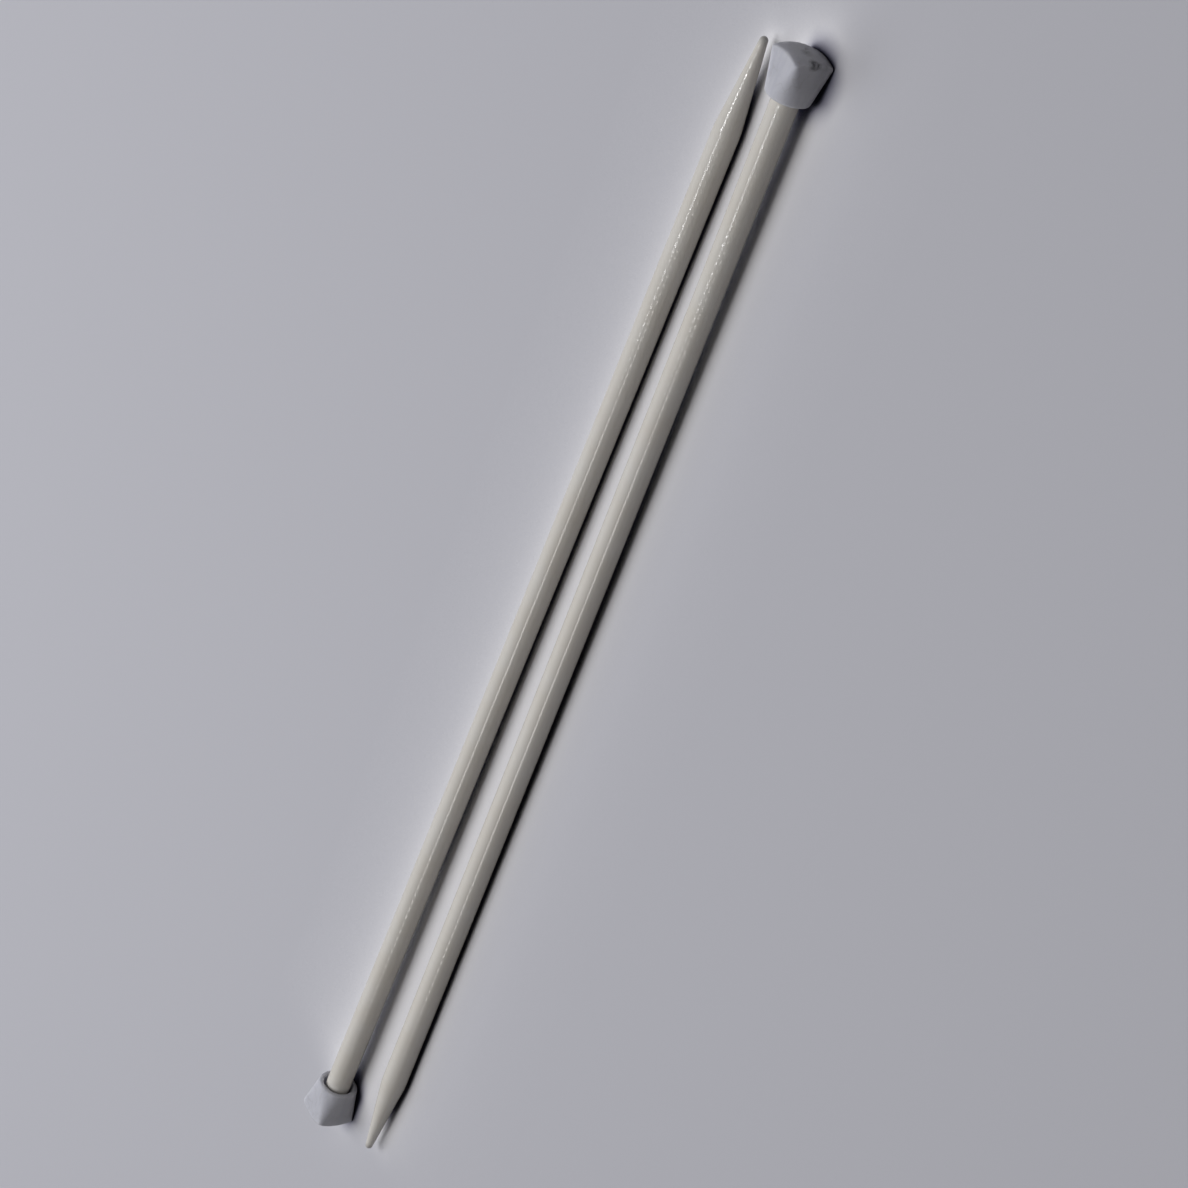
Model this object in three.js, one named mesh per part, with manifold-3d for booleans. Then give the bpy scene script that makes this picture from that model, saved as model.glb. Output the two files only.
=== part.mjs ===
// A pair of single-pointed plastic knitting needles lying side by side, heads at opposite ends.
// Millimetres, +Z up. +X runs along the needles and the pair rests on the plane Z = 0.
// The origin is on that plane, midway between the two heads.
import * as THREE from "three";
import { mergeVertices } from "three/addons/utils/BufferGeometryUtils.js";
import Module from "manifold-3d";

// One needle
const NEEDLE_LENGTH = 350; // from the tip to the top of the domed head
const SHAFT_DIAMETER = 7;
const TAPER_LENGTH = 25; // the cone from the full shaft to the end of the tip
const TIP_RADIUS = 1.05; // ball that ends the point
const BLIND_END_CHAMFER = 0.5; // on the shaft end inside the cap

// The cap: round at its mouth and square at its end
const CAP_LENGTH = 12.7; // from the mouth to the top of the dome
const CAP_ACROSS_FLATS = 11.2; // of the square, and the diameter of the round mouth
const CAP_SQUARE_START = 10.2; // from the mouth to where the section is square
const CAP_CORNER_RADIUS = 0.8; // of the square's four corners
const DOME_RADIUS = 15;
const MOUTH_BORE_DIAMETER = 8.7; // leaves the open ring that shows round the shaft
const MOUTH_BORE_DEPTH = 4;
const BORE_STEP_LENGTH = 0.6; // cone between the mouth bore and the tight socket
const SOCKET_DEPTH = 10; // from the mouth to the floor of the socket
const FIT_CLEARANCE = 0.3; // between the shaft and the socket, round it and at its floor
const CUT_OVERSHOOT = 1; // the socket's cutter and the dome's blank start this far outside the mouth

// How the two needles lie
const AXIS_SPACING = 19.75; // across, from the front needle's axis to the rear needle's head
const HEAD_STAGGER = 6.3; // how far the heads lie apart beyond one needle length
const REAR_TURN_DEGREES = -0.316; // the two needles are not quite parallel

// Facets
const SHAFT_SEGMENTS = 48;
const CAP_SEGMENTS = 64;
const TIP_STEPS = 8;
const DOME_STEPS = 8;
const CORNER_STEPS = 5;

// Colours and finish
const CREAM_WHITE = { color: 0xd2cdc2, roughness: 0.3, metalness: 0 };
const COOL_WHITE = { color: 0xc4c6cc, roughness: 0.45, metalness: 0 };

const wasm = await Module();
wasm.setup();

// A closed geometry as a solid, its shared vertices merged.
function toSolid(geometry) {
  const bare = geometry.clone();
  bare.deleteAttribute("normal");
  bare.deleteAttribute("uv");
  const merged = mergeVertices(bare, 1e-4);
  return new wasm.Manifold(
    new wasm.Mesh({
      numProp: 3,
      vertProperties: new Float32Array(merged.attributes.position.array),
      triVerts: new Uint32Array(merged.index.array),
    }),
  );
}

// A solid as a geometry with flat faces.
function toGeometry(solid) {
  const mesh = solid.getMesh();
  const indexed = new THREE.BufferGeometry();
  indexed.setAttribute("position", new THREE.BufferAttribute(mesh.vertProperties, 3));
  indexed.setIndex(new THREE.BufferAttribute(mesh.triVerts, 1));
  const geometry = indexed.toNonIndexed();
  geometry.computeVertexNormals();
  return geometry;
}

// A profile of [radius, distance] turned round the +X axis.
function turned(profile, segments) {
  const points = profile.map(([radius, distance]) => new THREE.Vector2(radius, distance));
  return new THREE.LatheGeometry(points, segments).rotateZ(-Math.PI / 2);
}

// Points [radius, distance] of an arc about a centre on the axis, angles measured from +X.
function arcPoints(centre, radius, fromAngle, toAngle, steps) {
  return Array.from({ length: steps + 1 }, (_, i) => {
    const angle = fromAngle + ((toAngle - fromAngle) * i) / steps;
    const distance = centre + radius * Math.cos(angle);
    return [Math.max(0, radius * Math.sin(angle)), distance];
  });
}

// The shaft along +X with its ball tip at X = 0. The cone is tangent to the ball.
function shaftGeometry() {
  const radius = SHAFT_DIAMETER / 2;
  const blindEnd = NEEDLE_LENGTH - CAP_LENGTH + SOCKET_DEPTH - FIT_CLEARANCE;
  const reach = TAPER_LENGTH - TIP_RADIUS;
  const slope = Math.atan2(radius, reach) - Math.asin(TIP_RADIUS / Math.hypot(reach, radius));
  const tangent = Math.PI / 2 + slope;
  const tip = arcPoints(TIP_RADIUS, TIP_RADIUS, Math.PI, tangent, TIP_STEPS);
  tip[0][0] = 0;
  return turned(
    [
      ...tip,
      [radius, TAPER_LENGTH],
      [radius, blindEnd - BLIND_END_CHAMFER],
      [radius - BLIND_END_CHAMFER, blindEnd],
      [0, blindEnd],
    ],
    SHAFT_SEGMENTS,
  );
}

// Points [x, y, z] round the mouth at X = 0.
function mouthPoints() {
  return Array.from({ length: CAP_SEGMENTS }, (_, i) => {
    const angle = (2 * Math.PI * i) / CAP_SEGMENTS;
    const radius = CAP_ACROSS_FLATS / 2;
    return [0, radius * Math.cos(angle), radius * Math.sin(angle)];
  });
}

// Points [x, y, z] round the square with rounded corners, this far from the mouth.
function squarePoints(distance) {
  const inner = CAP_ACROSS_FLATS / 2 - CAP_CORNER_RADIUS;
  const points = [];
  for (let corner = 0; corner < 4; corner += 1) {
    const middle = (corner + 0.5) * (Math.PI / 2);
    const y = Math.SQRT2 * inner * Math.cos(middle);
    const z = Math.SQRT2 * inner * Math.sin(middle);
    for (let step = 0; step <= CORNER_STEPS; step += 1) {
      const angle = (corner + step / CORNER_STEPS) * (Math.PI / 2);
      const across = y + CAP_CORNER_RADIUS * Math.cos(angle);
      const up = z + CAP_CORNER_RADIUS * Math.sin(angle);
      points.push([distance, across, up]);
    }
  }
  return points;
}

// The cap's sides: from the round mouth the four flats widen until they meet in a square.
function capSides() {
  const squares = [...squarePoints(CAP_SQUARE_START), ...squarePoints(CAP_LENGTH)];
  return wasm.Manifold.hull([...mouthPoints(), ...squares]);
}

// A round blank, wider than the cap, that ends in the dome.
function domeBlank() {
  const reach = (CAP_ACROSS_FLATS / 2) * Math.SQRT2;
  const centre = CAP_LENGTH - DOME_RADIUS;
  const dome = arcPoints(centre, DOME_RADIUS, Math.asin(reach / DOME_RADIUS), 0, DOME_STEPS);
  return turned([[0, -CUT_OVERSHOOT], [reach, -CUT_OVERSHOOT], ...dome], CAP_SEGMENTS);
}

// The space that the shaft goes into: a wide mouth, a short cone and the tight socket.
function capSocket() {
  const wide = MOUTH_BORE_DIAMETER / 2;
  const tight = SHAFT_DIAMETER / 2 + FIT_CLEARANCE;
  return turned(
    [
      [0, -CUT_OVERSHOOT],
      [wide, -CUT_OVERSHOOT],
      [wide, MOUTH_BORE_DEPTH],
      [tight, MOUTH_BORE_DEPTH + BORE_STEP_LENGTH],
      [tight, SOCKET_DEPTH],
      [0, SOCKET_DEPTH],
    ],
    SHAFT_SEGMENTS,
  );
}

// The cap along +X with its mouth at X = 0.
function capGeometry() {
  const body = capSides().intersect(toSolid(domeBlank()));
  return toGeometry(body.subtract(toSolid(capSocket())));
}

function namedMesh(name, geometry, finish) {
  const mesh = new THREE.Mesh(geometry, new THREE.MeshStandardMaterial(finish));
  mesh.name = name;
  return mesh;
}

// One needle along its own +X, the top of its dome at the group's origin.
// A flat of the cap lies on the table at the mouth, and the shaft where its taper begins.
function needle(prefix) {
  const shaft = namedMesh(`${prefix}_shaft`, shaftGeometry(), CREAM_WHITE);
  shaft.position.x = -NEEDLE_LENGTH;
  const cap = namedMesh(`${prefix}_cap`, capGeometry(), COOL_WHITE);
  cap.position.x = -CAP_LENGTH;

  const restSpan = NEEDLE_LENGTH - CAP_LENGTH - TAPER_LENGTH;
  const pitch = Math.atan2((CAP_ACROSS_FLATS - SHAFT_DIAMETER) / 2, restSpan);
  const pitched = new THREE.Group();
  pitched.add(shaft, cap);
  pitched.rotation.y = -pitch;
  pitched.position.z = (CAP_ACROSS_FLATS / 2) * Math.cos(pitch) + CAP_LENGTH * Math.sin(pitch);

  const placed = new THREE.Group();
  placed.add(pitched);
  return placed;
}

// The two needles, turned end for end.
function pair() {
  const headX = (NEEDLE_LENGTH + HEAD_STAGGER) / 2;
  const front = needle("front_needle");
  front.position.set(headX, -AXIS_SPACING / 2, 0);
  const rear = needle("rear_needle");
  rear.position.set(-headX, AXIS_SPACING / 2, 0);
  rear.rotation.z = THREE.MathUtils.degToRad(180 + REAR_TURN_DEGREES);

  const group = new THREE.Group();
  group.add(front, rear);
  return group;
}

export default pair();
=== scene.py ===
"""A pair of single-pointed plastic knitting needles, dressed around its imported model.

Each needle is a cream white shaft with a tapered point and a cool white cap that is round at its
mouth and square at its domed end. The sizes of the needles and the camera's places are
millimetres, as a maker would write them. The finishes, the lamps and the table top are in metres.
Every mesh ends up in metres in the row's frame: +X along the needles, +Z up.
"""

from __future__ import annotations

import logging
import math
from collections.abc import Callable
from dataclasses import dataclass, field
from enum import Enum

import bmesh
import bpy
from mathutils import Matrix, Vector

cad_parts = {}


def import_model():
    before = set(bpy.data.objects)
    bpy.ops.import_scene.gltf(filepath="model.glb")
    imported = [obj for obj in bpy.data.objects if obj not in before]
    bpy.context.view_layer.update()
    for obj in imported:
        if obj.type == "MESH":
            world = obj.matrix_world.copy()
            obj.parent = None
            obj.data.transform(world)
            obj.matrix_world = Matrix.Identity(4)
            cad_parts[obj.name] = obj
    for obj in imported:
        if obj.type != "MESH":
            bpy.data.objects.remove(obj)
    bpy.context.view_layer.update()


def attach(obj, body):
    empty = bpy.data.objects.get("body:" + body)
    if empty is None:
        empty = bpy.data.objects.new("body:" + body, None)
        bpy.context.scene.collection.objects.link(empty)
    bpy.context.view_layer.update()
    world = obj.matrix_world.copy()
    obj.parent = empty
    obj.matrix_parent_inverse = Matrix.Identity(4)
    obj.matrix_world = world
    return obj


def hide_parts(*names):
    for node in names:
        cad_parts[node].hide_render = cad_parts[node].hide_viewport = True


LOG = logging.getLogger("needles")
MILLIMETRE = 0.001
MERGE_DISTANCE = 0.001  # millimetres
QUARTER_TURN = math.pi / 2
NOISE_MIDDLE = 0.5
WAVE_PERIOD = math.pi / 10  # of a wave texture whose scale is 1

Colour = tuple[float, float, float]
RingShape = Callable[[float], tuple[float, float]]


class Slot(Enum):
    """The record's material slots."""

    SHAFT = "shaft_plastic"
    CAP = "cap_plastic"


class LampUse(Enum):
    """What a lamp is for: to shade the object, or to be seen in its gloss."""

    SHADING = "shading"
    GLOSS = "gloss"


class NodeGraph:
    """A short way to fill a node tree."""

    def __init__(self, tree: bpy.types.NodeTree) -> None:
        """Empties the tree.

        Args:
            tree: The material's or the world's node tree.
        """
        self.tree = tree
        tree.nodes.clear()

    def add(self, kind: str, values: dict | None = None, **settings: object) -> bpy.types.Node:
        """Adds a node.

        Args:
            kind: The node's type, such as "ShaderNodeTexNoise".
            values: Default values of input sockets by name.
            **settings: Properties of the node itself.

        Returns:
            The new node.
        """
        node = self.tree.nodes.new(kind)
        for name, setting in settings.items():
            setattr(node, name, setting)
        for name, value in (values or {}).items():
            node.inputs[name].default_value = value
        return node

    def link(self, source: bpy.types.NodeSocket, target: bpy.types.NodeSocket) -> None:
        """Links an output socket to an input socket."""
        self.tree.links.new(source, target)

    def noise(self, coordinates: bpy.types.NodeSocket, scale: float,
              detail: float) -> bpy.types.NodeSocket:
        """Adds a noise texture.

        Args:
            coordinates: Where the texture is read.
            scale: Its scale, in periods per unit of the coordinates.
            detail: Its octaves.

        Returns:
            The noise, from 0 to 1.
        """
        node = self.add("ShaderNodeTexNoise", {"Scale": scale, "Detail": detail})
        self.link(coordinates, node.inputs["Vector"])
        return node.outputs["Fac"]

    def stretched(self, coordinates: bpy.types.NodeSocket, scale: Colour) -> bpy.types.NodeSocket:
        """Scales coordinates differently along X, Y and Z.

        Args:
            coordinates: The coordinates to scale.
            scale: The three factors.

        Returns:
            The scaled coordinates.
        """
        node = self.add("ShaderNodeMapping", {"Scale": scale})
        self.link(coordinates, node.inputs["Vector"])
        return node.outputs["Vector"]

    def ranged(self, value: bpy.types.NodeSocket, low: float, high: float,
               to_low: float, to_high: float) -> bpy.types.NodeSocket:
        """Maps a value from one range to another, clamped.

        Args:
            value: The value to map.
            low: Its lowest value.
            high: Its highest value.
            to_low: What low becomes.
            to_high: What high becomes.

        Returns:
            The mapped value.
        """
        node = self.add("ShaderNodeMapRange", {"From Min": low, "From Max": high,
                                               "To Min": to_low, "To Max": to_high})
        self.link(value, node.inputs["Value"])
        return node.outputs["Result"]

    def blended(self, share: bpy.types.NodeSocket, first: Colour | bpy.types.NodeSocket,
                second: Colour | bpy.types.NodeSocket) -> bpy.types.NodeSocket:
        """Blends two colours.

        Args:
            share: How much of the second colour there is.
            first: The colour at 0, fixed or from a socket.
            second: The colour at 1, fixed or from a socket.

        Returns:
            The blended colour.
        """
        node = self.add("ShaderNodeMix", data_type="RGBA")
        colours = [s for s in node.inputs if s.type == "RGBA"]
        for socket, colour in zip(colours, (first, second)):
            if isinstance(colour, tuple):
                socket.default_value = (*colour, 1)
            else:
                self.link(colour, socket)
        self.link(share, node.inputs["Factor"])
        return next(s for s in node.outputs if s.type == "RGBA")

    def maths(self, operation: str, first: bpy.types.NodeSocket,
              second: float | bpy.types.NodeSocket = 0.0) -> bpy.types.NodeSocket:
        """Does one sum.

        Args:
            operation: What is done, such as "ADD".
            first: The first value.
            second: The second value, fixed or from a socket.

        Returns:
            The result.
        """
        node = self.add("ShaderNodeMath", operation=operation)
        self.link(first, node.inputs[0])
        if isinstance(second, float):
            node.inputs[1].default_value = second
        else:
            self.link(second, node.inputs[1])
        return node.outputs["Value"]

    def product(self, first: bpy.types.NodeSocket,
                second: bpy.types.NodeSocket) -> bpy.types.NodeSocket:
        """Multiplies two values."""
        return self.maths("MULTIPLY", first, second)

    def part(self, coordinates: bpy.types.NodeSocket, axis: str) -> bpy.types.NodeSocket:
        """Reads one of a point's three coordinates.

        Args:
            coordinates: The point.
            axis: "X", "Y" or "Z".

        Returns:
            The coordinate.
        """
        split = self.add("ShaderNodeSeparateXYZ")
        self.link(coordinates, split.inputs["Vector"])
        return split.outputs[axis]

    def distance_along(self, coordinates: bpy.types.NodeSocket) -> bpy.types.NodeSocket:
        """Reads how far along X a point is from the origin, either way."""
        return self.maths("ABSOLUTE", self.part(coordinates, "X"))

    def bump(self, height: bpy.types.NodeSocket, distance: float,
             below: bpy.types.Node | None = None) -> bpy.types.Node:
        """Adds a bump on top of another.

        Args:
            height: The height, from 0 to 1.
            distance: How high 1 is, in metres.
            below: The bump node that this one adds to.

        Returns:
            The bump node.
        """
        node = self.add("ShaderNodeBump", {"Distance": distance, "Strength": 1.0})
        self.link(height, node.inputs["Height"])
        if below is not None:
            self.link(below.outputs["Normal"], node.inputs["Normal"])
        return node

    def surface(self, shader: bpy.types.Node, colour: bpy.types.NodeSocket) -> None:
        """Gives a shader its colour and makes it the material's surface.

        Args:
            shader: The shader node.
            colour: Its base colour.
        """
        output = self.add("ShaderNodeOutputMaterial")
        self.link(colour, shader.inputs["Base Color"])
        self.link(shader.outputs["BSDF"], output.inputs["Surface"])


def new_material(name: str) -> tuple[bpy.types.Material, NodeGraph, bpy.types.NodeSocket]:
    """Makes an empty material.

    Args:
        name: The material's name.

    Returns:
        The material, its nodes and the Object coordinates that its patterns read.
    """
    material = bpy.data.materials.new(name)
    material.use_nodes = True
    graph = NodeGraph(material.node_tree)
    return material, graph, graph.add("ShaderNodeTexCoord").outputs["Object"]


@dataclass(frozen=True)
class ShaftPlastic:
    """Glossy cream white plastic, with the fine ripples of a polished rod."""

    cream: Colour = (0.664, 0.641, 0.602)
    warm: Colour = (0.646, 0.613, 0.561)
    refraction: float = 1.57
    roughness: float = 0.10
    roughness_spread: float = 0.06
    mottle_per_metre: float = 90.0
    mottle_detail: float = 3.0
    mottle_band: tuple[float, float] = (0.35, 0.65)
    ripple_per_metre: tuple[float, float, float] = (330.0, 160.0, 160.0)
    ripple_detail: float = 2.0
    ripple_height: float = 0.000012
    bead_spacing: float = 0.0026
    bead_height: float = 0.000022
    bead_unevenness: float = 3.0
    bead_detail: float = 2.0
    bead_detail_scale: float = 0.6
    nick_per_metre: float = 1500.0
    nick_detail: float = 2.0
    nick_height: float = 0.000048
    nick_reach: tuple[float, float] = (0.060, 0.100)
    # The shafts turn greyer towards their very points: the colour there, where along X it starts
    # and ends, and its greatest share.
    point_grey: Colour = (0.42, 0.41, 0.395)
    point_reach: tuple[float, float] = (0.1695, 0.1712)
    point_greying: float = 0.8
    scratch_per_metre: tuple[float, float, float] = (45.0, 2600.0, 2600.0)
    scratch_detail: float = 4.0
    scratch_band: tuple[float, float] = (0.3, 0.7)
    scratch_height: float = 0.0000012

    def make(self, name: str) -> bpy.types.Material:
        """Makes the material.

        Args:
            name: The material's name.

        Returns:
            The material.
        """
        material, graph, place = new_material(name)
        mottle = graph.noise(place, self.mottle_per_metre, self.mottle_detail)
        body = graph.blended(graph.ranged(mottle, *self.mottle_band, 0.0, 1.0),
                             self.cream, self.warm)
        point = graph.ranged(graph.distance_along(place), *self.point_reach, 0.0, self.point_greying)
        scratch = graph.noise(graph.stretched(place, self.scratch_per_metre), 1.0,
                              self.scratch_detail)
        rough = graph.ranged(scratch, *self.scratch_band, self.roughness,
                             self.roughness + self.roughness_spread)
        shader = graph.add("ShaderNodeBsdfPrincipled", {"IOR": self.refraction})
        graph.link(rough, shader.inputs["Roughness"])
        graph.link(self.relief(graph, place, scratch), shader.inputs["Normal"])
        graph.surface(shader, graph.blended(point, body, self.point_grey))
        return material

    def relief(self, graph: NodeGraph, place: bpy.types.NodeSocket,
               scratch: bpy.types.NodeSocket) -> bpy.types.NodeSocket:
        """Makes the ripples, beads, nicks and scratches of the polished surface.

        Args:
            graph: The material's nodes.
            place: The coordinates that the patterns read.
            scratch: The pattern of the scratches.

        Returns:
            The surface's normal.
        """
        ripple = graph.noise(graph.stretched(place, self.ripple_per_metre), 1.0,
                             self.ripple_detail)
        bead = graph.add("ShaderNodeTexWave", {
            "Scale": WAVE_PERIOD / self.bead_spacing, "Distortion": self.bead_unevenness,
            "Detail": self.bead_detail, "Detail Scale": self.bead_detail_scale})
        graph.link(place, bead.inputs["Vector"])
        nick = graph.noise(place, self.nick_per_metre, self.nick_detail)
        reached = graph.ranged(graph.part(place, "X"), *self.nick_reach, 0.0, 1.0)
        rippled = graph.bump(ripple, self.ripple_height)
        beaded = graph.bump(bead.outputs["Fac"], self.bead_height, rippled)
        nicked = graph.bump(graph.product(nick, reached), self.nick_height, beaded)
        return graph.bump(scratch, self.scratch_height, nicked).outputs["Normal"]


@dataclass(frozen=True)
class DarkSpot:
    """A dark spot: its middle and radius in metres, and how dark it is."""

    middle: tuple[float, float, float]
    radius: float
    strength: float


@dataclass(frozen=True)
class CapPlastic:
    """Satin cool white moulded plastic."""

    white: Colour = (0.540, 0.543, 0.590)
    grey: Colour = (0.505, 0.508, 0.555)
    vein: Colour = (0.455, 0.455, 0.490)
    streak: Colour = (0.490, 0.495, 0.550)
    # Colour and places of a few dark spots on and near the -Y edge of the front cap's end.
    dark_spot: Colour = (0.10, 0.10, 0.11)
    dark_spots: tuple[DarkSpot, ...] = (
        DarkSpot((0.17670, -0.01500, 0.00640), 0.0017, 1.50),
        DarkSpot((0.17670, -0.01530, 0.00520), 0.0015, 1.20),
        DarkSpot((0.17660, -0.01540, 0.00300), 0.0016, 0.50),
        DarkSpot((0.17800, -0.01150, 0.00650), 0.0018, 0.60),
    )
    refraction: float = 1.48
    depth_share: float = 0.65
    depth: float = 0.0035
    depth_by_colour: Colour = (1.0, 1.0, 1.0)
    roughness: float = 0.42
    roughness_spread: float = 0.12
    roughness_band: tuple[float, float] = (0.3, 0.7)
    mottle_per_metre: float = 220.0
    mottle_detail: float = 4.0
    mottle_band: tuple[float, float] = (0.35, 0.65)
    vein_per_metre: float = 260.0
    vein_detail: float = 2.0
    vein_width: float = 0.045
    vein_band: tuple[float, float] = (0.45, 0.60)
    streak_per_metre: tuple[float, float, float] = (60.0, 1000.0, 1000.0)
    streak_detail: float = 2.0
    streak_band: tuple[float, float] = (0.45, 0.65)
    streak_share: float = 0.8
    # Noise that makes the dark spots patchy.
    spot_noise_per_metre: float = 1300.0
    spot_noise_detail: float = 3.0
    spot_noise_band: tuple[float, float] = (0.35, 0.60)
    spot_noise_least: float = 0.40
    grain_per_metre: float = 2400.0
    grain_detail: float = 3.0
    grain_height: float = 0.000004
    swell_per_metre: float = 420.0
    swell_detail: float = 1.0
    swell_height: float = 0.000018

    def make(self, name: str) -> bpy.types.Material:
        """Makes the material.

        Args:
            name: The material's name.

        Returns:
            The material.
        """
        material, graph, place = new_material(name)
        mottle = graph.noise(place, self.mottle_per_metre, self.mottle_detail)
        grain = graph.noise(place, self.grain_per_metre, self.grain_detail)
        swell = graph.noise(place, self.swell_per_metre, self.swell_detail)
        rough = graph.ranged(mottle, *self.roughness_band, self.roughness,
                             self.roughness + self.roughness_spread)
        swollen = graph.bump(swell, self.swell_height)
        relief = graph.bump(grain, self.grain_height, swollen)
        shader = graph.add("ShaderNodeBsdfPrincipled", {
            "IOR": self.refraction, "Subsurface Weight": self.depth_share,
            "Subsurface Scale": self.depth, "Subsurface Radius": self.depth_by_colour})
        graph.link(rough, shader.inputs["Roughness"])
        graph.link(relief.outputs["Normal"], shader.inputs["Normal"])
        moulded = self.moulded_colour(graph, place, mottle)
        graph.surface(shader, self.spotted_colour(graph, place, moulded))
        return material

    def moulded_colour(self, graph: NodeGraph, place: bpy.types.NodeSocket,
                       mottle: bpy.types.NodeSocket) -> bpy.types.NodeSocket:
        """Makes the colour of the moulding: mottled, with faint veins and streaks.

        Args:
            graph: The material's nodes.
            place: The coordinates that the patterns read.
            mottle: The pattern of the mottle.

        Returns:
            The colour.
        """
        body = graph.blended(graph.ranged(mottle, *self.mottle_band, 0.0, 1.0),
                             self.white, self.grey)
        branch = graph.noise(place, self.vein_per_metre, self.vein_detail)
        off = graph.maths("ABSOLUTE", graph.maths("SUBTRACT", branch, NOISE_MIDDLE))
        line = graph.ranged(off, 0.0, self.vein_width, 1.0, 0.0)
        patch = graph.ranged(mottle, *self.vein_band, 0.0, 1.0)
        veined = graph.blended(graph.product(line, patch), body, self.vein)
        drawn = graph.noise(graph.stretched(place, self.streak_per_metre), 1.0,
                            self.streak_detail)
        return graph.blended(graph.ranged(drawn, *self.streak_band, 0.0, self.streak_share),
                             veined, self.streak)

    def spotted_colour(self, graph: NodeGraph, place: bpy.types.NodeSocket,
                       colour: bpy.types.NodeSocket) -> bpy.types.NodeSocket:
        """Darkens a colour in a few patchy spots near the end of the front cap.

        Args:
            graph: The material's nodes.
            place: The coordinates that the patterns read.
            colour: The colour without the spots.

        Returns:
            The colour with them.
        """
        spot_noise = graph.noise(place, self.spot_noise_per_metre, self.spot_noise_detail)
        patchy = graph.ranged(spot_noise, *self.spot_noise_band, self.spot_noise_least, 1.0)
        for dark_spot in self.dark_spots:
            apart = graph.add("ShaderNodeVectorMath", operation="DISTANCE")
            graph.link(place, apart.inputs[0])
            apart.inputs[1].default_value = dark_spot.middle
            near = graph.ranged(apart.outputs["Value"], 0.0, dark_spot.radius, dark_spot.strength, 0.0)
            colour = graph.blended(graph.product(near, patchy), colour, self.dark_spot)
        return colour


@dataclass
class Shaft:
    """The rod of a needle: a ball tip, a cone, and a cylinder that ends inside the cap."""

    length: float = 350.0
    diameter: float = 7.0
    taper_length: float = 25.0
    tip_radius: float = 1.05
    knee_radius: float = 30.0
    blind_end_back: float = 3.0
    blind_end_chamfer: float = 0.5
    segments: int = 128
    tip_steps: int = 12
    knee_steps: int = 6
    lengthwise_cuts: int = 60
    sag: float = 0.3
    held_length: float = 12.7

    def profile(self) -> list[tuple[float, float]]:
        """Works out the outline from the tip to the blind end.

        Returns:
            Points (distance from the tip, radius) in millimetres.
        """
        radius = self.diameter / 2
        reach = self.taper_length - self.tip_radius
        slope = math.atan2(radius, reach) - math.asin(self.tip_radius / math.hypot(reach, radius))
        points = []
        for step in range(self.tip_steps + 1):
            angle = (QUARTER_TURN - slope) * step / self.tip_steps
            points.append((self.tip_radius * (1 - math.cos(angle)),
                           self.tip_radius * math.sin(angle)))
        tangent = self.knee_radius * math.tan(slope / 2)
        centre = self.taper_length + tangent
        for step in range(self.knee_steps + 1):
            angle = slope * (1 - step / self.knee_steps)
            points.append((centre - self.knee_radius * math.sin(angle),
                           radius - self.knee_radius * (1 - math.cos(angle))))
        blind_end = self.length - self.blind_end_back
        points.append((blind_end - self.blind_end_chamfer, radius))
        points.append((blind_end, radius - self.blind_end_chamfer))
        points.append((blind_end, 0.0))
        return points

    def build(self, name: str) -> bpy.types.Object:
        """Turns the outline round the shaft's axis.

        Args:
            name: The object's name.

        Returns:
            The shaft along +X, its tip at -length and in millimetres.
        """
        bm = bmesh.new()
        outline = [bm.verts.new((x - self.length, 0, r)) for x, r in self.profile()]
        edges = [bm.edges.new(pair) for pair in zip(outline, outline[1:])]
        longest = max(edges, key=lambda edge: edge.calc_length())
        bmesh.ops.subdivide_edges(bm, edges=[longest], cuts=self.lengthwise_cuts)
        bmesh.ops.spin(bm, geom=bm.verts[:] + bm.edges[:], cent=(0, 0, 0), axis=(1, 0, 0),
                       angle=2 * math.pi, steps=self.segments, use_merge=True)
        for vert in bm.verts:
            vert.co.z -= self.dip(vert.co.x + self.length)
        return finished(bm, name)

    def dip(self, distance: float) -> float:
        """Measures how far the rod hangs down between its taper and its cap.

        Args:
            distance: How far from the tip.

        Returns:
            How far the rod is under its straight line there.
        """
        span = self.length - self.held_length - self.taper_length
        share = min(max((distance - self.taper_length) / span, 0.0), 1.0)
        return 4 * self.sag * share * (1 - share)


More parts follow.
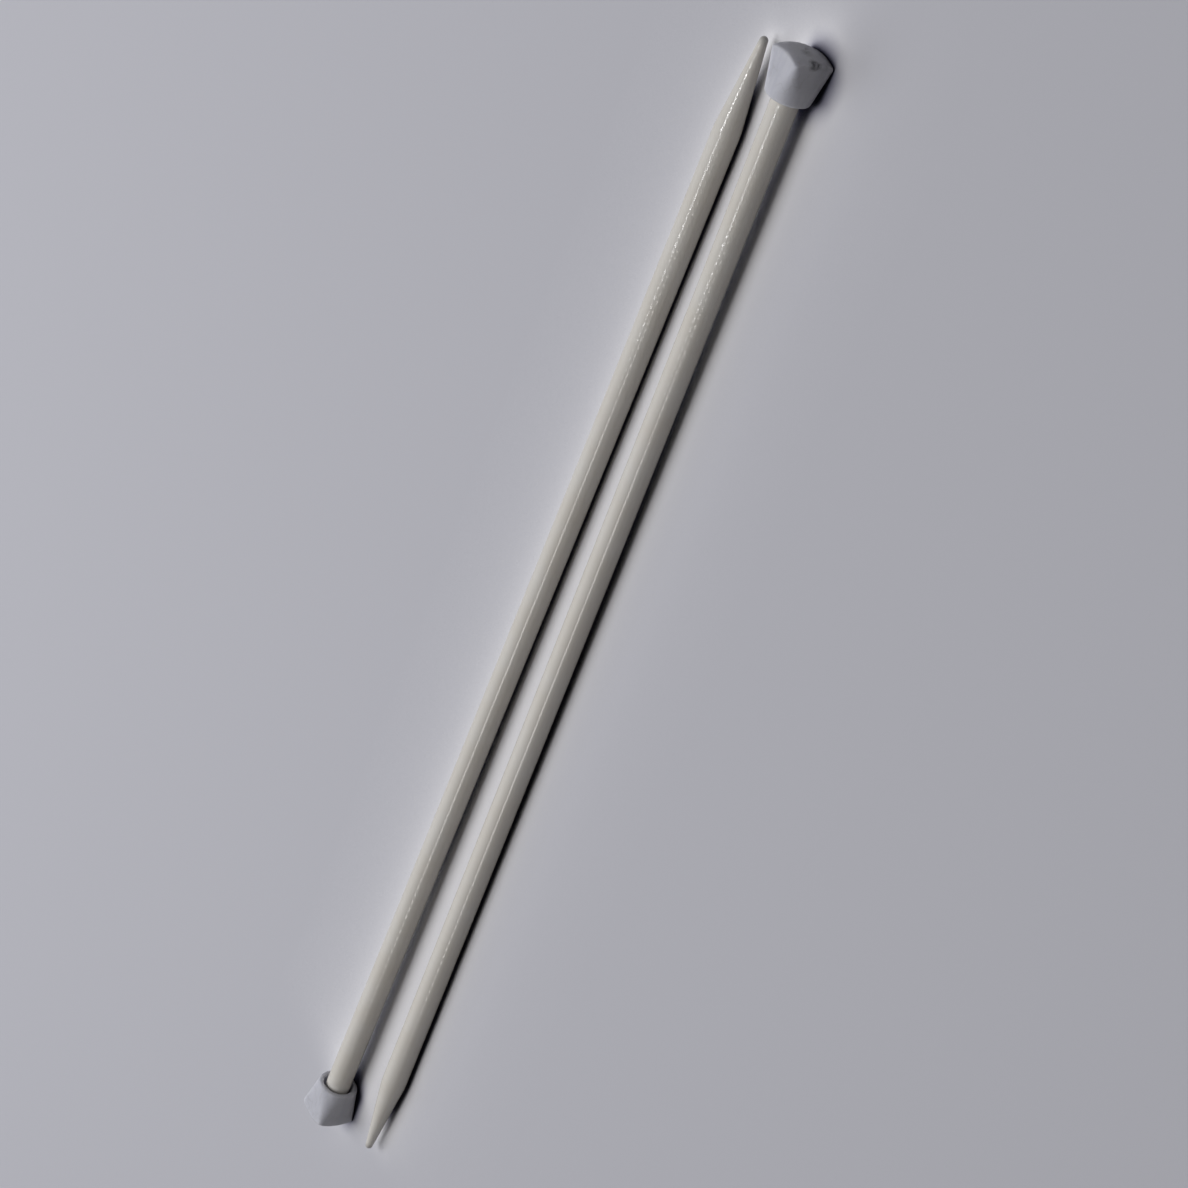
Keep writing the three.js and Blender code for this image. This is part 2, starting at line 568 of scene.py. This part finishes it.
@dataclass
class Cap:
    """The end cap: round at its mouth, square at its end, domed, with a stepped socket."""

    length: float = 12.7
    across_flats: float = 11.2
    square_start: float = 10.2
    corner_radius: float = 1.0
    dome_radius: float = 15.0
    end_edge_radius: float = 0.7
    mouth_bore: float = 8.7
    mouth_bore_depth: float = 4.0
    bore_step: float = 0.6
    socket_bore: float = 7.1
    socket_depth: float = 10.0
    rim_inner_radius: float = 0.25
    rim_outer_radius: float = 0.8
    gate_radius: float = 1.1
    gate_depth: float = 0.32
    segments: int = 256
    rim_steps: int = 5
    side_rings: int = 24
    edge_steps: int = 7
    dome_rings: int = 28

    def outer_radius(self, angle: float, distance: float) -> float:
        """Measures the outside: a circle at the mouth that squares up towards the end.

        Args:
            angle: The direction from the axis.
            distance: How far from the mouth.

        Returns:
            How far the outline is from the axis that way.
        """
        half = self.across_flats / 2
        share = min(distance / self.square_start, 1.0)
        corner = half + share * (self.corner_radius - half)
        inner = half - corner
        turn = abs((angle + QUARTER_TURN / 2) % QUARTER_TURN - QUARTER_TURN / 2)
        if half * math.tan(turn) <= inner:
            return half / math.cos(turn)
        along = inner * (math.cos(turn) + math.sin(turn))
        return along + math.sqrt(along ** 2 - 2 * inner ** 2 + corner ** 2)

    def edge_centre(self, angle: float) -> tuple[float, float]:
        """Places the centre of the end edge's rounding.

        Args:
            angle: The direction from the axis.

        Returns:
            Its distance from the mouth and from the axis.
        """
        rounding = self.end_edge_radius
        radius = self.outer_radius(angle, self.square_start) - rounding
        inner_dome = self.dome_radius - rounding
        centre = self.length - self.dome_radius
        return centre + math.sqrt(inner_dome ** 2 - radius ** 2), radius

    def rings(self) -> list[RingShape]:
        """Lists the rings of the cap's skin, from the floor of the socket to the dome's top.

        Returns:
            Functions from an angle to (distance from the mouth, distance from the axis).
        """
        bore = self.mouth_bore / 2
        socket = self.socket_bore / 2
        shapes: list[RingShape] = [
            lambda angle: (self.socket_depth, socket),
            lambda angle: (self.mouth_bore_depth + self.bore_step, socket),
            lambda angle: (self.mouth_bore_depth, bore),
        ]
        for step in range(self.rim_steps + 1):
            shapes.append(self.rim_inner_ring(QUARTER_TURN * step / self.rim_steps))
        for step in range(self.rim_steps + 1):
            shapes.append(self.rim_outer_ring(QUARTER_TURN * step / self.rim_steps))
        for step in range(1, self.side_rings):
            shapes.append(self.side_ring(step / self.side_rings))
        for step in range(self.edge_steps + 1):
            shapes.append(self.edge_ring(step / self.edge_steps))
        for step in range(1, self.dome_rings):
            shapes.append(self.dome_ring(1 - step / self.dome_rings))
        return shapes

    def rim_inner_ring(self, turn: float) -> RingShape:
        """Places a ring on the rounding between the rim and the bore.

        Args:
            turn: The angle round the quarter circle, 0 in the bore.

        Returns:
            The ring's shape.
        """
        radius = self.rim_inner_radius
        bore = self.mouth_bore / 2
        return lambda angle: (radius * (1 - math.sin(turn)), bore + radius * (1 - math.cos(turn)))

    def rim_outer_ring(self, turn: float) -> RingShape:
        """Places a ring on the rounding between the rim and the side.

        Args:
            turn: The angle round the quarter circle, 0 on the flat of the rim.

        Returns:
            The ring's shape.
        """
        radius = self.rim_outer_radius
        return lambda angle: (radius * (1 - math.cos(turn)),
                              self.outer_radius(angle, radius) - radius * (1 - math.sin(turn)))

    def side_ring(self, share: float) -> RingShape:
        """Places a ring on the side.

        Args:
            share: How far it is from the rim, where 1 is the end edge.

        Returns:
            The ring's shape.
        """
        def shape(angle: float) -> tuple[float, float]:
            """Places the ring's point in one direction.

            Args:
                angle: The direction from the axis.

            Returns:
                Its distance from the mouth and from the axis.
            """
            start = self.rim_outer_radius
            distance = start + share * (self.edge_centre(angle)[0] - start)
            return distance, self.outer_radius(angle, distance)
        return shape

    def edge_ring(self, share: float) -> RingShape:
        """Places a ring on the rounded end edge.

        Args:
            share: How far it is from the side, where 1 is the dome.

        Returns:
            The ring's shape.
        """
        def shape(angle: float) -> tuple[float, float]:
            """Places the ring's point in one direction.

            Args:
                angle: The direction from the axis.

            Returns:
                Its distance from the mouth and from the axis.
            """
            distance, radius = self.edge_centre(angle)
            rounding = self.end_edge_radius
            last = QUARTER_TURN - math.asin(radius / (self.dome_radius - rounding))
            turn = share * last
            return distance + rounding * math.sin(turn), radius + rounding * math.cos(turn)
        return shape

    def dome_ring(self, share: float) -> RingShape:
        """Places a ring on the dome, with the gate's dimple in its middle.

        Args:
            share: How far it is from the dome's top, where 1 is the rounded edge.

        Returns:
            The ring's shape.
        """
        def shape(angle: float) -> tuple[float, float]:
            """Places the ring's point in one direction.

            Args:
                angle: The direction from the axis.

            Returns:
                Its distance from the mouth and from the axis.
            """
            edge_radius = self.edge_ring(1.0)(angle)[1]
            radius = edge_radius * share
            dome = math.sqrt(self.dome_radius ** 2 - radius ** 2)
            dip = max(1 - (radius / self.gate_radius) ** 2, 0.0) ** 2 * self.gate_depth
            return self.length - self.dome_radius + dome - dip, radius
        return shape

    def build(self, name: str) -> bpy.types.Object:
        """Lofts the skin ring by ring.

        Args:
            name: The object's name.

        Returns:
            The cap along +X, the top of its dome at the origin and in millimetres.
        """
        bm = bmesh.new()
        shapes = self.rings()
        floor = bmesh.ops.create_circle(bm, cap_ends=True, cap_tris=True, radius=1.0,
                                        segments=self.segments)
        centre = min(floor["verts"], key=lambda vert: vert.co.length)
        ring = [vert for vert in floor["verts"] if vert is not centre]
        centre.co = (self.socket_depth - self.length, 0, 0)
        angles = {vert: math.atan2(vert.co.y, vert.co.x) for vert in ring}
        self.place_ring(angles, shapes[0])
        edges = [edge for edge in bm.edges if centre not in edge.verts]
        for shape in shapes[1:]:
            made = bmesh.ops.extrude_edge_only(bm, edges=edges)["geom"]
            fresh = [item for item in made if isinstance(item, bmesh.types.BMVert)]
            edges = [item for item in made if isinstance(item, bmesh.types.BMEdge)
                     and all(vert in fresh for vert in item.verts)]
            angles = {vert: math.atan2(vert.co.z, vert.co.y) for vert in fresh}
            self.place_ring(angles, shape)
        top = bmesh.ops.extrude_edge_only(bm, edges=edges)["geom"]
        last = [item for item in top if isinstance(item, bmesh.types.BMVert)]
        bmesh.ops.pointmerge(bm, verts=last, merge_co=(-self.gate_depth, 0, 0))
        return finished(bm, name)

    def place_ring(self, angles: dict, shape: RingShape) -> None:
        """Moves a ring's vertices to their place.

        Args:
            angles: The direction of each vertex from the axis.
            shape: The ring's shape.
        """
        for vert, angle in angles.items():
            distance, radius = shape(angle)
            vert.co = (distance - self.length, radius * math.cos(angle), radius * math.sin(angle))


def finished(bm: bmesh.types.BMesh, name: str) -> bpy.types.Object:
    """Turns a bmesh in millimetres into a smooth object in metres.

    Args:
        bm: The mesh, which is freed.
        name: The object's name.

    Returns:
        The object, linked to the scene.
    """
    bmesh.ops.remove_doubles(bm, verts=bm.verts[:], dist=MERGE_DISTANCE)
    bmesh.ops.recalc_face_normals(bm, faces=bm.faces[:])
    bmesh.ops.scale(bm, vec=(MILLIMETRE,) * 3, verts=bm.verts[:])
    mesh = bpy.data.meshes.new(name)
    bm.to_mesh(mesh)
    bm.free()
    mesh.shade_smooth()
    piece = bpy.data.objects.new(name, mesh)
    bpy.context.collection.objects.link(piece)
    return piece


@dataclass
class Needle:
    """One needle: its shaft, its cap and how it lies."""

    body: str
    head_place: tuple[float, float]
    heading_degrees: float
    shaft: Shaft = field(default_factory=Shaft)
    cap: Cap = field(default_factory=Cap)

    def lie(self) -> Matrix:
        """Works out how the needle rests on its cap's flat and on the start of its taper.

        Returns:
            The matrix from the needle's own axes to the row's frame, in metres.
        """
        half_cap = self.cap.across_flats / 2
        span = self.shaft.length - self.cap.length - self.shaft.taper_length
        pitch = math.atan2(half_cap - self.shaft.diameter / 2, span)
        height = half_cap * math.cos(pitch) + self.cap.length * math.sin(pitch)
        place = Vector((*self.head_place, height)) * MILLIMETRE
        heading = Matrix.Rotation(math.radians(self.heading_degrees), 4, "Z")
        return Matrix.Translation(place) @ heading @ Matrix.Rotation(-pitch, 4, "Y")

    def make(self, shaft_finish: bpy.types.Material, cap_finish: bpy.types.Material) -> None:
        """Builds and dresses both pieces, attaches them to the needle's body and hides the
        imported parts that they stand for.

        Args:
            shaft_finish: The shaft's material.
            cap_finish: The cap's material.
        """
        shaft = self.shaft.build(f"{self.body}_fine_shaft")
        cap = self.cap.build(f"{self.body}_fine_cap")
        for piece, finish, node, slot in (
            (shaft, shaft_finish, f"{self.body}_shaft", Slot.SHAFT),
            (cap, cap_finish, f"{self.body}_cap", Slot.CAP),
        ):
            piece.data.transform(self.lie())
            piece.data.materials.append(finish)
            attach(piece, self.body)
            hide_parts(node)
            LOG.info("%s: %d faces", piece.name, len(piece.data.polygons))


@dataclass(frozen=True)
class PhotoCamera:
    """The photograph's camera: a long lens that looks down at the needles, turned on its side."""

    place: tuple[float, float, float] = (430.1, -538.5, 465.3)
    target: tuple[float, float, float] = (20.57, -6.38, 0.0)
    roll_degrees: float = -91.53
    lens: float = 97.49
    sensor: float = 36.0
    nearest: float = 50.0
    farthest: float = 20000.0

    def make(self) -> None:
        """Makes the camera and gives it to the scene."""
        camera = bpy.data.cameras.new("photo_camera")
        camera.lens = self.lens
        camera.sensor_width = self.sensor
        camera.clip_start = self.nearest * MILLIMETRE
        camera.clip_end = self.farthest * MILLIMETRE
        holder = bpy.data.objects.new("photo_camera", camera)
        bpy.context.collection.objects.link(holder)
        place = Vector(self.place) * MILLIMETRE
        gaze = Vector(self.target) * MILLIMETRE - place
        level = gaze.to_track_quat("-Z", "Y").to_matrix().to_4x4()
        roll = Matrix.Rotation(math.radians(self.roll_degrees), 4, "Z")
        holder.matrix_world = Matrix.Translation(place) @ level @ roll
        bpy.context.scene.camera = holder


@dataclass(frozen=True)
class Softbox:
    """A rectangular lamp that looks at the middle of the pair, one side along the needles."""

    name: str
    direction: tuple[float, float, float]
    distance: float
    along: float
    across: float
    level: float
    use: LampUse
    colour: Colour = (1.0, 1.0, 1.0)

    def make(self) -> None:
        """Makes the lamp. Its power would give a white floor the level as its brightness."""
        towards = Vector(self.direction).normalized()
        across = towards.cross(Vector((1, 0, 0))).normalized()
        along = across.cross(towards)
        light = bpy.data.lights.new(self.name, "AREA")
        light.shape = "RECTANGLE"
        light.size = self.along
        light.size_y = self.across
        light.color = self.colour
        light.energy = self.level * (math.pi * self.distance) ** 2 / towards.z
        holder = bpy.data.objects.new(self.name, light)
        bpy.context.collection.objects.link(holder)
        turn = Matrix((along, across, towards)).transposed().to_4x4()
        holder.matrix_world = Matrix.Translation(towards * self.distance) @ turn
        holder.visible_glossy = self.use is LampUse.GLOSS
        holder.visible_diffuse = self.use is LampUse.SHADING


@dataclass(frozen=True)
class Studio:
    """A pale floor with painted shade close to the needles and painted light beside them, the
    lamps and the surrounding light.
    """

    floor_colour: Colour = (0.462, 0.461, 0.498)
    # Colour of the painted light beside the needles, which only the camera sees.
    glow_colour: Colour = (0.83, 0.82, 0.84)
    floor_roughness: float = 0.75
    floor_specular: float = 0.3
    floor_size: float = 12.0
    # Darker, warmer colour that only bounced light sees: a painted shade that dims the light the
    # floor throws back onto the needles' lower sides.
    bounce_colour: Colour = (0.40, 0.387, 0.380)
    # Painted shade close to the needles: the floor's colour darkens where it is closed off,
    # tinted blue, narrow under the shafts and wider round the caps.
    contact_reach: float = 0.010
    contact_samples: int = 24
    contact_shade: float = 0.02
    contact_blueness: float = 0.8
    shaft_contact_low: tuple[float, float] = (0.350, 0.390)
    shaft_contact_high: tuple[float, float] = (0.390, 0.50)
    rising_band: tuple[float, float] = (0.10, 0.157)
    gap_band: tuple[float, float] = (-0.0125, -0.007)
    gap_closeness: float = 0.06
    cap_contact: tuple[float, float] = (0.38, 0.87)
    cap_band: tuple[float, float] = (0.160, 0.168)
    cap_side: tuple[float, float] = (-0.0008, -0.0002)
    # Painted light beside the needles: paler mostly on their +Y side, fading to faint by the rear
    # cap's end.
    glow_reach: float = 0.045
    glow_samples: int = 8
    glow_openness: tuple[float, float] = (0.6, 1.0)
    glow_band: tuple[float, float] = (-0.024, 0.018)
    glow_share: tuple[float, float] = (0.72, 1.70)
    glow_end: tuple[float, float] = (-0.178, -0.165)
    glow_end_share: tuple[float, float] = (0.2, 1.0)
    fill_level: float = 0.032
    fill_colour: Colour = (0.97, 0.98, 1.0)
    backdrop_colour: Colour = (0.60, 0.61, 0.64)
    lamps: tuple[Softbox, ...] = (
        Softbox("window", direction=(-0.03, 0.21, 0.977), distance=1.6, along=1.2, across=1.5,
                level=0.86, use=LampUse.SHADING, colour=(0.99, 0.99, 1.00)),
        Softbox("side_window", direction=(-0.48, 0.70, 0.53), distance=1.8, along=1.2, across=0.8,
                level=0.18, use=LampUse.SHADING, colour=(0.96, 0.98, 1.02)),
        Softbox("front_fill", direction=(0.45, -0.80, 0.40), distance=1.8, along=1.4, across=1.0,
                level=0.008, use=LampUse.SHADING),
        Softbox("long_lamp", direction=(-0.508, -0.56, 0.62), distance=1.2, along=0.38,
                across=0.18, level=0.042, use=LampUse.GLOSS, colour=(1.0, 0.95, 0.92)),
        Softbox("short_lamp", direction=(-0.265, -0.22, 0.94), distance=1.06, along=0.08,
                across=0.17, level=0.048, use=LampUse.GLOSS),
        Softbox("tip_lamp", direction=(-0.015, -0.117, 0.993), distance=1.04, along=0.09,
                across=0.16, level=0.110, use=LampUse.GLOSS),
    )

    def make(self) -> None:
        """Makes the floor, the lamps and the world."""
        self.make_floor()
        for lamp in self.lamps:
            lamp.make()
        self.make_world()

    def make_floor(self) -> None:
        """Makes the floor at the height that the needles rest on."""
        bm = bmesh.new()
        bmesh.ops.create_grid(bm, x_segments=1, y_segments=1, size=self.floor_size / 2)
        mesh = bpy.data.meshes.new("floor")
        bm.to_mesh(mesh)
        bm.free()
        floor = bpy.data.objects.new("floor", mesh)
        bpy.context.collection.objects.link(floor)
        mesh.materials.append(self.table_top())

    def table_top(self) -> bpy.types.Material:
        """Makes the floor's material.

        Returns:
            The material, with painted shade where the needles close off the floor and painted
            light beside them.
        """
        material, graph, place = new_material("table_top")
        shader = graph.add("ShaderNodeBsdfPrincipled", {
            "Roughness": self.floor_roughness, "Specular IOR Level": self.floor_specular})
        near = graph.add("ShaderNodeAmbientOcclusion", {"Distance": self.contact_reach},
                         samples=self.contact_samples)
        path = graph.add("ShaderNodeLightPath")
        # Bounced light sees the darker bounce colour, which dims the light thrown back onto the
        # needles.
        base = graph.blended(path.outputs["Is Diffuse Ray"], self.floor_colour,
                             self.bounce_colour)
        # Painted light beside the needles, seen by the camera only.
        glow = graph.product(self.glow(graph, place), path.outputs["Is Camera Ray"])
        seen = graph.blended(glow, base, self.glow_colour)
        # Painted shade close to the needles, tinted blue as it deepens.
        shade = self.contact(graph, near.outputs["AO"], place)
        tint = graph.add("ShaderNodeCombineXYZ")
        graph.link(shade, tint.inputs["X"])
        graph.link(shade, tint.inputs["Y"])
        graph.link(graph.maths("POWER", shade, self.contact_blueness), tint.inputs["Z"])
        colour = graph.add("ShaderNodeVectorMath", operation="MULTIPLY")
        graph.link(seen, colour.inputs[0])
        graph.link(tint.outputs["Vector"], colour.inputs[1])
        graph.surface(shader, colour.outputs["Vector"])
        return material

    def glow(self, graph: NodeGraph, place: bpy.types.NodeSocket) -> bpy.types.NodeSocket:
        """Works out the painted light beside the needles: how much paler the floor is there,
        mostly on their +Y side.

        Args:
            graph: The floor's nodes.
            place: Where the floor is read.

        Returns:
            The share of the paler colour.
        """
        far = graph.add("ShaderNodeAmbientOcclusion", {"Distance": self.glow_reach},
                        samples=self.glow_samples)
        across = graph.ranged(graph.part(place, "Y"), *self.glow_band, *self.glow_share)
        along = graph.ranged(graph.part(place, "X"), *self.glow_end, *self.glow_end_share)
        closed = graph.ranged(far.outputs["AO"], *self.glow_openness, 1.0, 0.0)
        return graph.product(closed, graph.product(across, along))

    def contact(self, graph: NodeGraph, openness: bpy.types.NodeSocket,
                place: bpy.types.NodeSocket) -> bpy.types.NodeSocket:
        """Works out the painted shade close to the needles: how much of its colour the floor
        keeps there.

        Args:
            graph: The floor's nodes.
            openness: How open the floor is to the room there.
            place: Where the floor is read.

        Returns:
            The share that the floor keeps, wider and softer round the caps than under the shafts.
        """
        along = graph.distance_along(place)
        closed = graph.ranged(graph.part(place, "Y"), *self.gap_band, 0.0, self.gap_closeness)
        spare = graph.maths("ADD", openness, closed)
        by_shaft = graph.add("ShaderNodeMapRange", {"To Min": self.contact_shade, "To Max": 1.0})
        graph.link(spare, by_shaft.inputs["Value"])
        for name, edges in (("From Min", self.shaft_contact_low),
                            ("From Max", self.shaft_contact_high)):
            graph.link(graph.ranged(along, *self.rising_band, *edges), by_shaft.inputs[name])
        by_cap = graph.ranged(openness, *self.cap_contact, self.contact_shade, 1.0)
        corner = graph.product(graph.part(place, "X"), graph.part(place, "Y"))
        share = graph.product(graph.ranged(along, *self.cap_band, 0.0, 1.0),
                              graph.ranged(corner, *self.cap_side, 1.0, 0.0))
        mix = graph.add("ShaderNodeMix", data_type="FLOAT")
        graph.link(share, mix.inputs["Factor"])
        graph.link(by_shaft.outputs["Result"], mix.inputs["A"])
        graph.link(by_cap, mix.inputs["B"])
        return mix.outputs["Result"]

    def make_world(self) -> None:
        """Makes the surrounding light, and the backdrop that the camera sees beyond the floor."""
        world = bpy.data.worlds.new("room")
        world.use_nodes = True
        graph = NodeGraph(world.node_tree)
        fill = graph.add("ShaderNodeBackground", {"Color": (*self.fill_colour, 1),
                                                  "Strength": self.fill_level})
        backdrop = graph.add("ShaderNodeBackground", {"Color": (*self.backdrop_colour, 1),
                                                      "Strength": 1.0})
        path = graph.add("ShaderNodeLightPath")
        mix = graph.add("ShaderNodeMixShader")
        output = graph.add("ShaderNodeOutputWorld")
        graph.link(path.outputs["Is Camera Ray"], mix.inputs["Fac"])
        graph.link(fill.outputs["Background"], mix.inputs[1])
        graph.link(backdrop.outputs["Background"], mix.inputs[2])
        graph.link(mix.outputs["Shader"], output.inputs["Surface"])
        bpy.context.scene.world = world


def main() -> None:
    """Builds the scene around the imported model."""
    logging.basicConfig(level=logging.INFO, format="%(name)s: %(message)s")
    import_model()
    bpy.context.scene.view_settings.view_transform = "Standard"
    PhotoCamera().make()
    Studio().make()
    shaft_finish = ShaftPlastic().make("cream_shaft_plastic")
    cap_finish = CapPlastic().make("cool_cap_plastic")
    for needle in (
        Needle("front_needle", head_place=(178.15, -9.875), heading_degrees=0.0),
        Needle("rear_needle", head_place=(-178.15, 9.875), heading_degrees=179.684),
    ):
        needle.make(shaft_finish, cap_finish)


if __name__ == "__main__":
    main()
